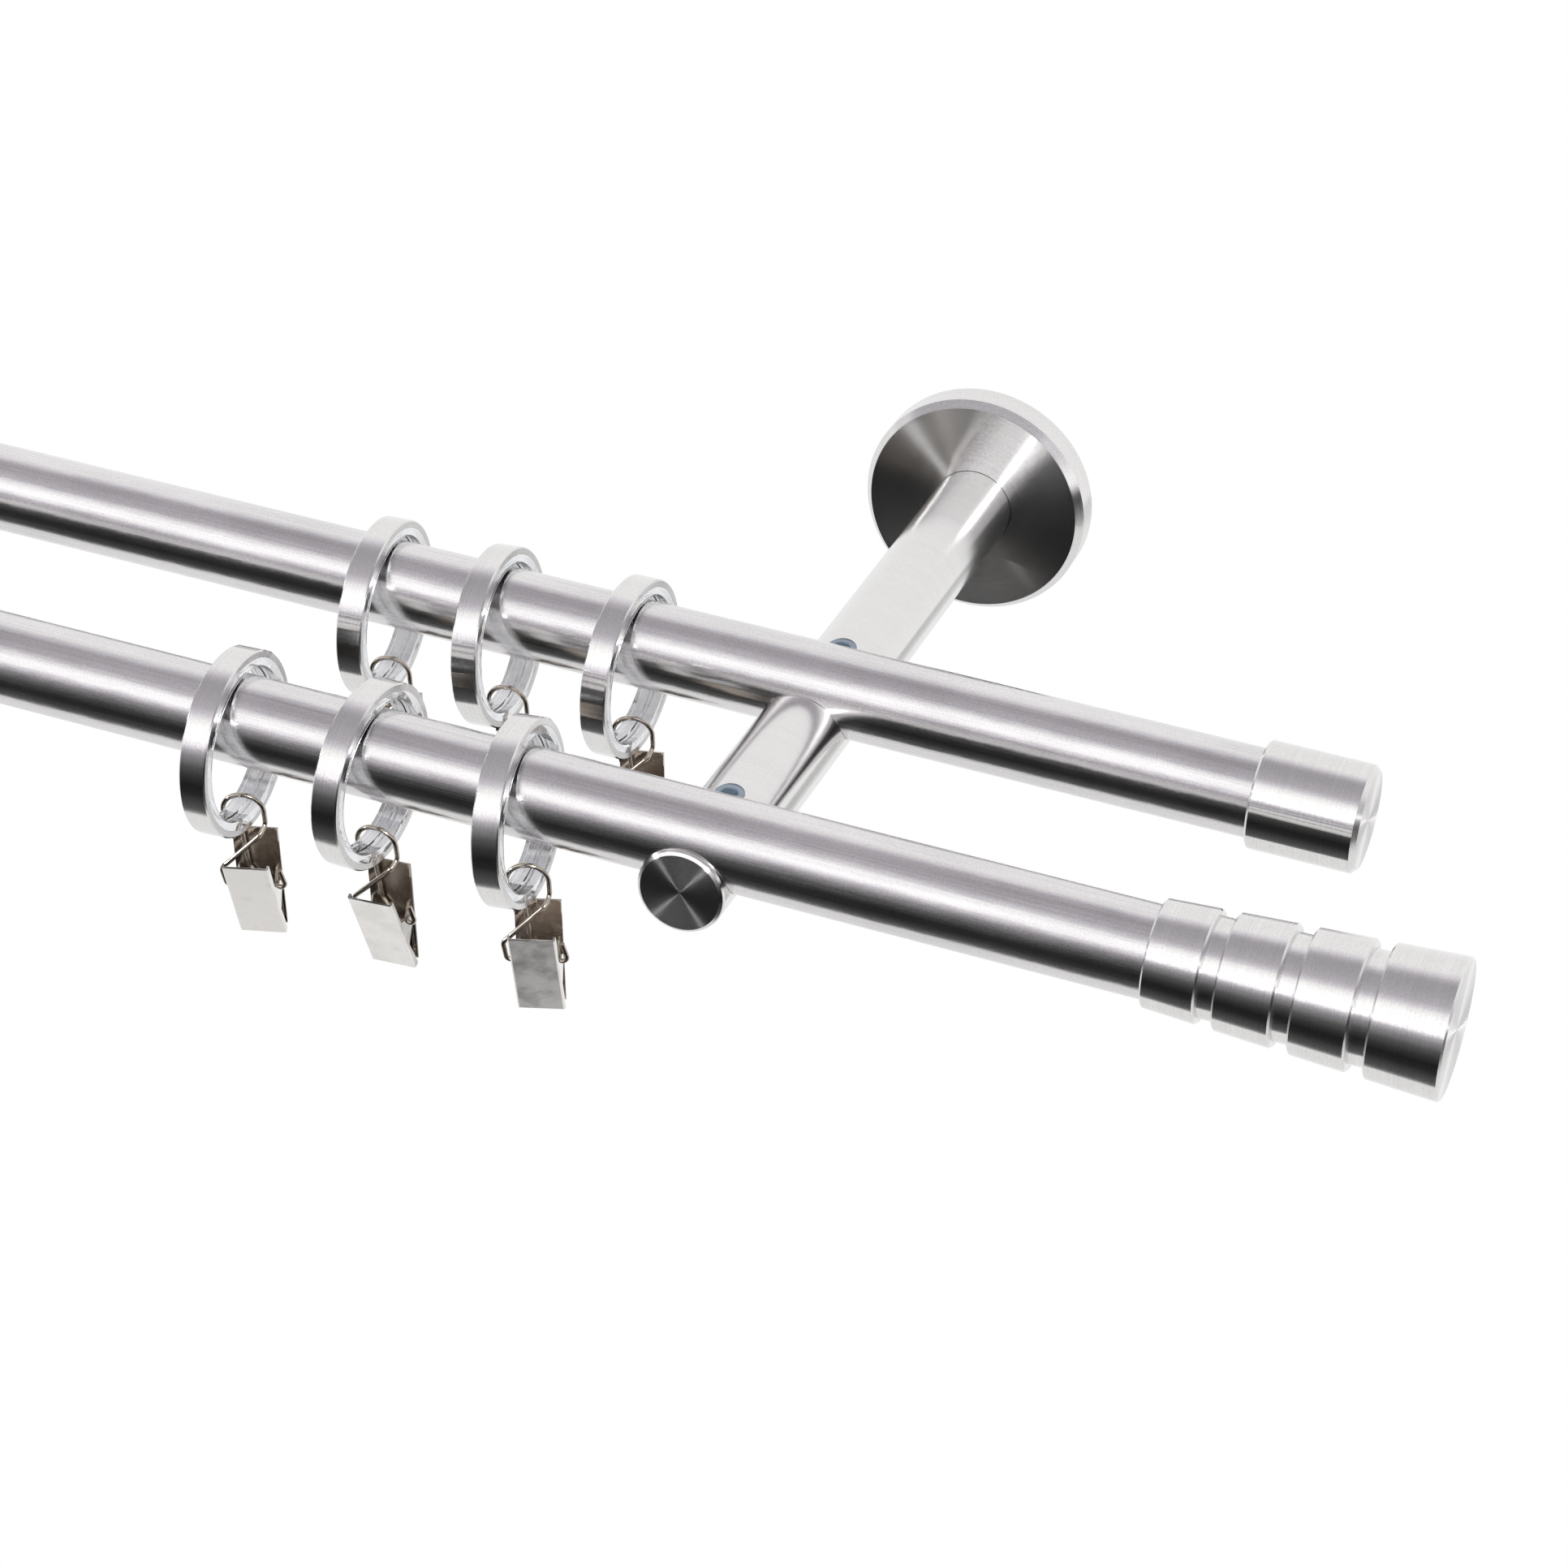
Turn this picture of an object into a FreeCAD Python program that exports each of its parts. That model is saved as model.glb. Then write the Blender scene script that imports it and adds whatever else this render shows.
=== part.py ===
import FreeCAD, Part
import math
import os
import Sketcher
from FreeCAD import Placement, Rotation, Vector

# Double curtain pole bracket with two poles, end pieces, rings and clips.
# Frame: the origin is the centre of the wall plate's back, on the wall.
# The wall is the plane y = 0 and the room lies towards -Y. +Z is up.
# The poles run along X and their end pieces are at +X.

# Driving sizes in millimetres and degrees
SIZES = {
    # Poles
    "pole_radius": 10.0,
    "pole_wall": 1.0,
    "pole_edge": 0.15,
    "pole_end_gap": 0.3,
    "pole_left_end": 235.0,
    "wall_to_rear_pole": 120.0,
    "pole_spacing": 70.0,
    "pole_above_arm": 7.5,
    # Bracket arm
    "arm_radius": 9.8,
    "arm_front_overhang": 11.4,
    "arm_edge_radial": 0.9,
    "arm_edge_axial": 1.1,
    "saddle_gap": 0.05,
    "saddle_screw_radius": 2.5,
    "saddle_screw_length": 6.0,
    "saddle_screw_socket": 1.25,
    "saddle_screw_tip": 0.6,
    "saddle_screw_edge": 0.4,
    "screw_gap": 0.05,
    # Clear bushes in the arm
    "bush_radius": 3.3,
    "bush_bore_radius": 1.85,
    "bush_length": 9.0,
    "bush_behind_pole": 16.0,
    "bush_top_drop": 0.2,
    "bush_gap": 0.03,
    "bush_foot_edge": 0.3,
    "bush_top_edge": 0.2,
    # Wall plate and rosette
    "plate_radius": 24.0,
    "plate_thickness": 5.0,
    "plate_edge": 0.4,
    "plate_screw_offset": 15.0,
    "plate_screw_radius": 2.25,
    "plate_sink_radius": 4.4,
    "stud_radius": 4.0,
    "stud_in_arm": 14.0,
    "stud_from_wall": 0.3,
    "stud_edge": 0.4,
    "rosette_radius": 27.9,
    "rosette_depth": 8.6,
    "rosette_front": 3.0,
    "rosette_chamfer_radial": 1.6,
    "rosette_chamfer_axial": 1.9,
    "rosette_fit_gap": 0.1,
    "rosette_screw_radius": 1.5,
    "rosette_screw_height": 2.8,
    "rosette_screw_length": 3.0,
    "rosette_screw_tip": 0.4,
    # Cap on the rear pole
    "cap_radius": 12.1,
    "cap_start": 102.15,
    "cap_length": 24.35,
    "cap_end_wall": 4.5,
    "cap_chamfer": 1.1,
    "cap_rim_round": 0.5,
    "socket_gap": 0.1,
    "end_screw_radius": 2.0,
    "end_screw_from_rim": 9.0,
    "cap_screw_length": 1.75,
    "finial_screw_length": 1.65,
    "end_screw_tip": 0.3,
    # Turned conical finial on the front pole
    "finial_start": 99.25,
    "finial_start_radius": 11.5,
    "finial_end_radius": 15.0,
    "finial_socket": 23.05,
    "finial_land_1": 11.65,
    "finial_land_2": 12.25,
    "finial_land_3": 12.05,
    "finial_land_4": 15.55,
    "finial_groove_width_1": 3.65,
    "finial_groove_width_2": 3.75,
    "finial_groove_width_3": 3.85,
    "finial_groove_depth_1": 1.4,
    "finial_groove_depth_2": 1.6,
    "finial_groove_depth_3": 1.85,
    "finial_edge": 0.4,
    # Curtain rings
    "ring_radius": 20.9,
    "ring_width": 6.1,
    "ring_band": 1.6,
    "liner_thickness": 1.75,
    "liner_gap": 0.04,
    "liner_bead": 0.25,
    "liner_bead_width": 0.9,
    "ring_edge": 0.3,
    "ring_on_pole_gap": 0.25,
    # Spring clips
    "clip_width": 10.5,
    "clip_sheet": 0.5,
    "clip_side_gap": 0.2,
    "front_jaw_above": 12.45,
    "front_jaw_below": 12.29,
    "front_jaw_offset": 4.28,
    "front_flange": 1.3,
    "front_lip": 1.85,
    "front_tilt": 15.5,
    "back_jaw_width": 10.4,
    "back_jaw_above": 13.98,
    "back_jaw_below": 11.4,
    "back_jaw_offset": 2.38,
    "back_flange": 0.7,
    "back_tab": 2.9,
    "back_tab_slope": 0.5,
    "back_tilt": 5.6,
    "ear_height": 4.2,
    "front_ear_radius": 1.6,
    "back_ear_radius": 1.5,
    "wire_radius": 0.55,
    "axle_gap": 0.05,
    "eye_radius": 4.6,
    "eye_height": 19.0,
    "eye_set_back": 2.66,
    "eye_left": 1.6,
    "eye_to_liner": 1.0,
    "eye_shift": 0.6,
    # Bent wire of a clip, measured from the axle
    "hook_out": 6.57,
    "hook_lean": 1.2,
    "hook_forward": 0.3,
    "hook_height": 4.4,
    "curl_out": 7.0,
    "curl_lean": 0.5,
    "curl_forward": 0.6,
    "curl_height": 5.0,
    "right_leg_drop": 3.2,
    "right_leg_inset": 0.9,
    "right_leg_forward": 0.6,
    "right_leg_foot": 14.2,
    "left_leg_drop": 3.0,
    "inner_leg_top": 14.0,
    "inner_leg_top_out": 2.6,
    "inner_leg_foot": 4.0,
    "inner_leg_foot_out": 1.8,
    "inner_tip_height": 1.9,
    "inner_tip_out": 0.4,
    "inner_tip_forward": 0.4,
    "wire_to_plate": 0.1,
    "hook_bend": 1.0,
    "curl_bend": 1.1,
    "curl_top_bend": 2.0,
    "leg_bend": 1.6,
}

# Ring centres along X and how each ring hangs: roll about the pole, turn about Z, lean about Y
FRONT_RINGS = {
    "ring_front_1": (-109.05, 7.1, 0.5, -2.1),
    "ring_front_2": (-77.0, 14.0, -3.6, -1.4),
    "ring_front_3": (-42.05, 13.0, 3.1, -4.6),
}
REAR_RINGS = {
    "ring_rear_1": (-105.7, -2.0, 1.5, -1.7),
    "ring_rear_2": (-76.8, -6.4, 1.0, -4.9),
    "ring_rear_3": (-44.8, 0.2, -1.75, -1.4),
}
# How each clip hangs: turn about Z, lean about Y, tip about X
CLIP_STANCES = {
    "ring_front_1": (12.9, -4.7, 8.0),
    "ring_front_2": (0.4, -3.5, 10.2),
    "ring_front_3": (15.2, -4.8, 4.1),
    "ring_rear_1": (8.0, -4.0, 5.0),
    "ring_rear_2": (4.0, -4.5, 5.0),
    "ring_rear_3": (10.0, -4.0, 5.0),
}
# Where the wire eye sits on the ring, measured from its lowest point towards the wall
EYE_ANGLE = 4.0
# Share of the arm's rounded front edge that its outer facet takes, radially and axially
EDGE_KNEE = (0.28, 0.59)
# Bending radius of the eye as a share of its own radius
EYE_BEND = 0.97

doc = FreeCAD.newDocument("curtain_pole")
sheet = doc.addObject("Spreadsheet::Sheet", "Sizes")
for row, (alias, number) in enumerate(SIZES.items(), start=1):
    sheet.set(f"A{row}", alias.replace("_", " "))
    sheet.set(f"B{row}", str(number))
    sheet.setAlias(f"B{row}", alias)
doc.recompute()


class Size:
    """A length that knows its number and the sheet expression that drives it."""

    def __init__(self, number, text):
        self.number = float(number)
        self.text = text

    def __float__(self):
        return self.number

    def _with(self, other, sign, number, swapped=False):
        mine, theirs = self.text, text_of(other)
        left, right = (theirs, mine) if swapped else (mine, theirs)
        return Size(number, f"({left} {sign} {right})")

    def __add__(self, other):
        return self._with(other, "+", self.number + float(other))

    def __radd__(self, other):
        return self._with(other, "+", float(other) + self.number, True)

    def __sub__(self, other):
        return self._with(other, "-", self.number - float(other))

    def __rsub__(self, other):
        return self._with(other, "-", float(other) - self.number, True)

    def __mul__(self, other):
        return self._with(other, "*", self.number * float(other))

    def __rmul__(self, other):
        return self._with(other, "*", float(other) * self.number, True)

    def __truediv__(self, other):
        return self._with(other, "/", self.number / float(other))

    def __neg__(self):
        return Size(-self.number, f"(0 - {self.text})")


def text_of(value):
    """Expression text of a size or of a plain number."""
    return value.text if isinstance(value, Size) else repr(float(value))


def size(alias):
    """The sheet's value under this alias, as a Size."""
    return Size(sheet.get(alias), f"Sizes.{alias}")


def bind(item, property_name, value):
    """Ties a property of a feature to the sheet."""
    item.setExpression(property_name, text_of(value))


def origin_plane(body, role):
    """The body's own origin plane with this role."""
    return [item for item in body.Origin.OriginFeatures if item.Role == role][0]


def new_body(label):
    """An empty body whose label names its file."""
    body = doc.addObject("PartDesign::Body", label)
    body.Label = label
    return body


def new_sketch(body, name, role):
    """A sketch on one of the body's origin planes."""
    sketch = body.newObject("Sketcher::SketchObject", name)
    sketch.AttachmentSupport = (origin_plane(body, role), [""])
    sketch.MapMode = "FlatFace"
    return sketch


def tie_point(sketch, geometry, end, across, up=None):
    """Holds a sketch point at its distances from the origin, or only across it."""
    for kind, axis, value in (("DistanceX", -2, across), ("DistanceY", -1, up)):
        if value is None:
            continue
        if float(value) == 0.0:
            sketch.addConstraint(Sketcher.Constraint("PointOnObject", geometry, end, axis))
            continue
        rule = Sketcher.Constraint(kind, -1, 1, geometry, end, float(value))
        index = sketch.addConstraint(rule)
        bind(sketch, f"Constraints[{index}]", value)


def outline(sketch, corners):
    """A closed outline of corners (across, up).

    A corner with a third entry starts a half round: (bulge across, bulge up, centre across).
    """
    count = len(corners)
    for index, corner in enumerate(corners):
        follower = corners[(index + 1) % count]
        start = Vector(float(corner[0]), float(corner[1]), 0)
        end = Vector(float(follower[0]), float(follower[1]), 0)
        if len(corner) == 3:
            middle = Vector(float(corner[2][0]), float(corner[2][1]), 0)
            arc = Part.Arc(start, middle, end)
            sketch.addGeometry(arc, False)
        else:
            sketch.addGeometry(Part.LineSegment(start, end), False)
    for index, corner in enumerate(corners):
        follower = (index + 1) % count
        here, there = 2, 1
        if is_clockwise_arc(corners, index):
            here = 1
        if is_clockwise_arc(corners, follower):
            there = 2
        sketch.addConstraint(Sketcher.Constraint("Coincident", index, here, follower, there))
    for index, corner in enumerate(corners):
        start = 2 if is_clockwise_arc(corners, index) else 1
        tie_point(sketch, index, start, corner[0], corner[1])
        if len(corner) == 3:
            tie_point(sketch, index, 3, corner[2][2])


def is_clockwise_arc(corners, index):
    """Tells whether this edge is an arc drawn clockwise, whose ends a sketch stores swapped."""
    corner = corners[index]
    if len(corner) < 3:
        return False
    follower = corners[(index + 1) % len(corners)]
    chord = Vector(float(follower[0]) - float(corner[0]), float(follower[1]) - float(corner[1]), 0)
    bulge = Vector(float(corner[2][0]) - float(corner[0]), float(corner[2][1]) - float(corner[1]), 0)
    return chord.cross(bulge).z > 0


def revolve(body, name, corners):
    """Turns an outline (radius, height) about the body's Z axis."""
    sketch = new_sketch(body, f"{name}_profile", "XZ_Plane")
    outline(sketch, corners)
    solid = body.newObject("PartDesign::Revolution", name)
    solid.Profile = sketch
    solid.ReferenceAxis = (sketch, ["V_Axis"])
    solid.Angle = 360
    return solid


def pad_across(body, name, corners, width):
    """Pads a side outline (y, z) to both sides of the YZ plane."""
    sketch = new_sketch(body, f"{name}_profile", "YZ_Plane")
    outline(sketch, corners)
    solid = body.newObject("PartDesign::Pad", name)
    solid.Profile = sketch
    solid.SideType = "Symmetric"
    bind(solid, "Length", width)
    return solid


def pocket_across(body, name, corners, width):
    """Cuts a side outline (y, z) to both sides of the YZ plane."""
    sketch = new_sketch(body, f"{name}_profile", "YZ_Plane")
    outline(sketch, corners)
    cut = body.newObject("PartDesign::Pocket", name)
    cut.Profile = sketch
    cut.SideType = "Symmetric"
    bind(cut, "Length", width)
    return cut


def place_tool(tool, at, turn):
    """Puts a primitive of a body at sizes (x, y, z) with a fixed turn."""
    tool.Placement = Placement(Vector(*[float(value) for value in at]), turn)
    for axis, value in zip("xyz", at):
        if isinstance(value, Size):
            bind(tool, f"Placement.Base.{axis}", value)


ALONG = {
    "+x": Rotation(Vector(0, 1, 0), 90),
    "-x": Rotation(Vector(0, 1, 0), -90),
    "+y": Rotation(Vector(1, 0, 0), -90),
    "-y": Rotation(Vector(1, 0, 0), 90),
    "+z": Rotation(),
    "-z": Rotation(Vector(1, 0, 0), 180),
}


def bore(body, name, radius, depth, at, way):
    """Cuts a round hole that starts at a point and runs one way."""
    tool = body.newObject("PartDesign::SubtractiveCylinder", name)
    bind(tool, "Radius", radius)
    bind(tool, "Height", depth)
    place_tool(tool, at, ALONG[way])
    return tool


def sink(body, name, small, large, depth, at, way):
    """Cuts a conical countersink that widens along its way."""
    tool = body.newObject("PartDesign::SubtractiveCone", name)
    bind(tool, "Radius1", small)
    bind(tool, "Radius2", large)
    bind(tool, "Height", depth)
    place_tool(tool, at, ALONG[way])
    return tool


def socket(body, name, radius, depth, at, way):
    """Cuts a six-sided key socket; the radius is half its width across flats."""
    tool = body.newObject("PartDesign::SubtractivePrism", name)
    tool.Polygon = 6
    bind(tool, "Circumradius", radius / math.cos(math.radians(30)))
    bind(tool, "Height", depth)
    place_tool(tool, at, ALONG[way])
    return tool


# The bracket stands in a frame of its own whose Z axis points into the room
BRACKET = Placement(Vector(0, 0, 0), Rotation(Vector(1, 0, 0), 90))
# Turned pieces on the poles are drawn along Z and laid along X
LAID = Rotation(Vector(0, 1, 0), 90)

rear_pole_out = size("wall_to_rear_pole")
front_pole_out = size("wall_to_rear_pole") + size("pole_spacing")
pole_height = size("pole_above_arm")
arm_end = front_pole_out + size("arm_front_overhang")

# Wall plate: a steel disc with two countersunk screw holes and a threaded centre
wall_plate = new_body("wall_plate")
plate_edge = size("plate_edge")
revolve(wall_plate, "plate_disc", [
    (0, 0),
    (size("plate_radius") - plate_edge, 0),
    (size("plate_radius"), plate_edge),
    (size("plate_radius"), size("plate_thickness") - plate_edge),
    (size("plate_radius") - plate_edge, size("plate_thickness")),
    (0, size("plate_thickness")),
])
bore(wall_plate, "stud_thread", size("stud_radius") + size("screw_gap"),
     size("plate_thickness") + 2, (0, 0, -1), "+z")
for side, sign in (("left", -1), ("right", 1)):
    across = sign * size("plate_screw_offset")
    bore(wall_plate, f"screw_hole_{side}", size("plate_screw_radius"),
         size("plate_thickness") + 2, (across, 0, -1), "+z")
    sink(wall_plate, f"screw_sink_{side}", size("plate_screw_radius"), size("plate_sink_radius"),
         size("plate_sink_radius") - size("plate_screw_radius"),
         (across, 0, size("plate_thickness") - size("plate_sink_radius") + size("plate_screw_radius")),
         "+z")
wall_plate.Placement = BRACKET

# Rosette: a turned cover with a chamfered rim that hides the plate
rosette = new_body("rosette")
rim = size("rosette_radius") - size("rosette_chamfer_radial")
revolve(rosette, "rosette_cover", [
    (size("plate_radius") + size("rosette_fit_gap"), 0),
    (size("rosette_radius"), 0),
    (size("rosette_radius"), size("rosette_depth") - size("rosette_chamfer_axial")),
    (rim, size("rosette_depth")),
    (size("arm_radius") + size("rosette_fit_gap"), size("rosette_depth")),
    (size("arm_radius") + size("rosette_fit_gap"), size("rosette_depth") - size("rosette_front")),
    (size("plate_radius") + size("rosette_fit_gap"), size("rosette_depth") - size("rosette_front")),
])
bore(rosette, "rosette_screw_hole", size("rosette_screw_radius") + size("screw_gap"),
     size("rosette_radius"), (0, 0, size("rosette_screw_height")), "-y")
rosette.Placement = BRACKET

# Grub screw from below that holds the rosette on the plate's rim
rosette_screw = new_body("rosette_screw")
rosette_screw_length = size("rosette_screw_length")
revolve(rosette_screw, "rosette_screw_body", [
    (0, 0),
    (size("rosette_screw_radius"), 0),
    (size("rosette_screw_radius"), rosette_screw_length - size("rosette_screw_tip")),
    (size("rosette_screw_radius") - size("rosette_screw_tip"), rosette_screw_length),
    (0, rosette_screw_length),
])
socket(rosette_screw, "rosette_screw_key", size("rosette_screw_radius") / 2,
       rosette_screw_length / 2, (0, 0, 0), "+z")
rosette_screw.Placement = Placement(
    Vector(0, -float(size("rosette_screw_height")),
           -float(size("plate_radius") + rosette_screw_length + size("screw_gap"))), Rotation())
bind(rosette_screw, "Placement.Base.y", -size("rosette_screw_height"))
bind(rosette_screw, "Placement.Base.z",
     -(size("plate_radius") + rosette_screw_length + size("screw_gap")))

# Stud that draws the arm against the plate
arm_stud = new_body("arm_stud")
stud_length = size("plate_thickness") + size("stud_in_arm")
stud_foot = size("stud_from_wall")
stud_edge = size("stud_edge")
revolve(arm_stud, "stud_rod", [
    (0, stud_foot),
    (size("stud_radius") - stud_edge, stud_foot),
    (size("stud_radius"), stud_foot + stud_edge),
    (size("stud_radius"), stud_length - stud_edge),
    (size("stud_radius") - stud_edge, stud_length),
    (0, stud_length),
])
arm_stud.Placement = BRACKET

# Arm: one turned bar with a U-shaped saddle cut for each pole
arm_bar = new_body("arm_bar")
revolve(arm_bar, "arm_turned", [
    (0, size("plate_thickness")),
    (size("arm_radius"), size("plate_thickness")),
    (size("arm_radius"), arm_end - size("arm_edge_axial")),
    (size("arm_radius") - EDGE_KNEE[0] * size("arm_edge_radial"),
     arm_end - (1 - EDGE_KNEE[1]) * size("arm_edge_axial")),
    (size("arm_radius") - size("arm_edge_radial"), arm_end),
    (0, arm_end),
])
saddle_radius = size("pole_radius") + size("saddle_gap")
saddle_floor = pole_height - saddle_radius
for name, out in (("rear", rear_pole_out), ("front", front_pole_out)):
    above = size("arm_radius") + 1
    pocket_across(arm_bar, f"{name}_saddle", [
        (above, out - saddle_radius),
        (pole_height, out - saddle_radius, (saddle_floor, out, pole_height)),
        (pole_height, out + saddle_radius),
        (above, out + saddle_radius),
    ], 2 * size("arm_radius") + 2)
    bore(arm_bar, f"{name}_screw_thread", size("saddle_screw_radius") + size("screw_gap"),
         size("arm_radius") + 1, (0, -size("arm_radius") - 1, out), "+y")
    bore(arm_bar, f"{name}_bush_bore", size("bush_radius") + size("bush_gap"),
         size("bush_length") + 2,
         (0, size("arm_radius") + 2 - size("bush_top_drop"), out - size("bush_behind_pole")), "-y")
bore(arm_bar, "stud_hole", size("stud_radius") + size("screw_gap"), size("stud_in_arm") + 2,
     (0, 0, size("plate_thickness") - 0.5), "+z")
arm_bar.Placement = BRACKET

# Clear bushes, flush with the arm's top just behind each pole
for name, out in (("rear", rear_pole_out), ("front", front_pole_out)):
    bush = new_body(f"{name}_bush")
    revolve(bush, f"{name}_bush_sleeve", [
        (size("bush_bore_radius"), 0),
        (size("bush_radius") - size("bush_foot_edge"), 0),
        (size("bush_radius"), size("bush_foot_edge")),
        (size("bush_radius"), size("bush_length") - size("bush_top_edge")),
        (size("bush_radius") - size("bush_top_edge"), size("bush_length")),
        (size("bush_bore_radius") + size("bush_top_edge"), size("bush_length")),
        (size("bush_bore_radius"), size("bush_length") - size("bush_top_edge")),
    ])
    bush.Placement = Placement(Vector(0, 0, 0), Rotation())
    bind(bush, "Placement.Base.y", -(out - size("bush_behind_pole")))
    bind(bush, "Placement.Base.z", size("arm_radius") - size("bush_top_drop") - size("bush_length"))

# Grub screws that press the poles into their saddles from below
for name, out in (("rear", rear_pole_out), ("front", front_pole_out)):
    screw = new_body(f"{name}_saddle_screw")
    revolve(screw, f"{name}_saddle_screw_body", [
        (0, 0),
        (size("saddle_screw_radius") - size("saddle_screw_edge"), 0),
        (size("saddle_screw_radius"), size("saddle_screw_edge")),
        (size("saddle_screw_radius"), size("saddle_screw_length") - size("saddle_screw_tip")),
        (size("saddle_screw_radius") - size("saddle_screw_tip"), size("saddle_screw_length")),
        (0, size("saddle_screw_length")),
    ])
    socket(screw, f"{name}_saddle_screw_key", size("saddle_screw_socket"),
           size("saddle_screw_length") / 2, (0, 0, 0), "+z")
    bind(screw, "Placement.Base.y", -out)
    bind(screw, "Placement.Base.z",
         pole_height - size("pole_radius") - size("screw_gap") - size("saddle_screw_length"))

# Poles: round tubes with square-cut ends
cap_end = size("cap_start") + size("cap_length")
rear_pole_end = cap_end - size("cap_end_wall") - size("pole_end_gap")
front_pole_end = size("finial_start") + size("finial_socket") - size("pole_end_gap")
for name, out, right_end in (("rear", rear_pole_out, rear_pole_end),
                             ("front", front_pole_out, front_pole_end)):
    pole = new_body(f"{name}_pole")
    length = size("pole_left_end") + right_end
    revolve(pole, f"{name}_tube", [
        (size("pole_radius") - size("pole_wall"), 0),
        (size("pole_radius") - size("pole_edge"), 0),
        (size("pole_radius"), size("pole_edge")),
        (size("pole_radius"), length),
        (size("pole_radius") - size("pole_wall"), length),
    ])
    pole.Placement = Placement(Vector(0, 0, 0), LAID)
    bind(pole, "Placement.Base.x", -size("pole_left_end"))
    bind(pole, "Placement.Base.y", -out)
    bind(pole, "Placement.Base.z", pole_height)

# Cap: a turned cup over the end of the rear pole
rear_cap = new_body("rear_cap")
socket_radius = size("pole_radius") + size("socket_gap")
cap_depth = size("cap_length") - size("cap_end_wall")
revolve(rear_cap, "cap_cup", [
    (socket_radius, 0),
    (size("cap_radius") - size("cap_rim_round"), 0),
    (size("cap_radius"), size("cap_rim_round")),
    (size("cap_radius"), size("cap_length") - size("cap_chamfer")),
    (size("cap_radius") - size("cap_chamfer"), size("cap_length")),
    (0, size("cap_length")),
    (0, cap_depth),
    (socket_radius, cap_depth),
])
bore(rear_cap, "cap_screw_hole", size("end_screw_radius") + size("screw_gap"),
     size("cap_radius") + 1, (0, 0, size("end_screw_from_rim")), "+x")
rear_cap.Placement = Placement(Vector(0, 0, 0), LAID)
bind(rear_cap, "Placement.Base.x", size("cap_start"))
bind(rear_cap, "Placement.Base.y", -rear_pole_out)
bind(rear_cap, "Placement.Base.z", pole_height)

# Finial: a turned cone with three square grooves over the end of the front pole
front_finial = new_body("front_finial")
lands = [size(f"finial_land_{number}") for number in (1, 2, 3, 4)]
widths = [size(f"finial_groove_width_{number}") for number in (1, 2, 3)]
finial_length = lands[0] + widths[0] + lands[1] + widths[1] + lands[2] + widths[2] + lands[3]
flare = (size("finial_end_radius") - size("finial_start_radius")) / finial_length


def cone_radius(along):
    """Radius of the finial's cone at a distance from its rim."""
    return size("finial_start_radius") + flare * along


edge = size("finial_edge")
finial_outline = [
    (socket_radius, 0),
    (cone_radius(edge) - edge, 0),
]
along = 0
for number, land in enumerate(lands, start=1):
    if number > 1:
        finial_outline.append((cone_radius(along + edge) - edge, along))
    finial_outline.append((cone_radius(along + edge), along + edge))
    along = along + land
    finial_outline.append((cone_radius(along - edge), along - edge))
    finial_outline.append((cone_radius(along - edge) - edge, along))
    if number < 4:
        floor = cone_radius(along) - size(f"finial_groove_depth_{number}")
        finial_outline.append((floor, along))
        along = along + widths[number - 1]
        finial_outline.append((floor, along))
finial_outline += [
    (0, finial_length),
    (0, size("finial_socket")),
    (socket_radius, size("finial_socket")),
]
revolve(front_finial, "finial_cone", finial_outline)
bore(front_finial, "finial_screw_hole", size("end_screw_radius") + size("screw_gap"),
     size("finial_end_radius") + 1, (0, 0, size("end_screw_from_rim")), "+x")
front_finial.Placement = Placement(Vector(0, 0, 0), LAID)
bind(front_finial, "Placement.Base.x", size("finial_start"))
bind(front_finial, "Placement.Base.y", -front_pole_out)
bind(front_finial, "Placement.Base.z", pole_height)

# Grub screws from below that hold the cap and the finial on their poles
for name, start, out in (
    ("cap", size("cap_start"), rear_pole_out),
    ("finial", size("finial_start"), front_pole_out),
):
    screw = new_body(f"{name}_screw")
    length = size(f"{name}_screw_length")
    revolve(screw, f"{name}_screw_body", [
        (0, 0),
        (size("end_screw_radius"), 0),
        (size("end_screw_radius"), length - size("end_screw_tip")),
        (size("end_screw_radius") - size("end_screw_tip"), length),
        (0, length),
    ])
    socket(screw, f"{name}_screw_key", size("end_screw_radius") / 2, length / 2, (0, 0, 0), "+z")
    bind(screw, "Placement.Base.x", start + size("end_screw_from_rim"))
    bind(screw, "Placement.Base.y", -out)
    bind(screw, "Placement.Base.z", pole_height - size("pole_radius") - size("screw_gap") - length)


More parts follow.
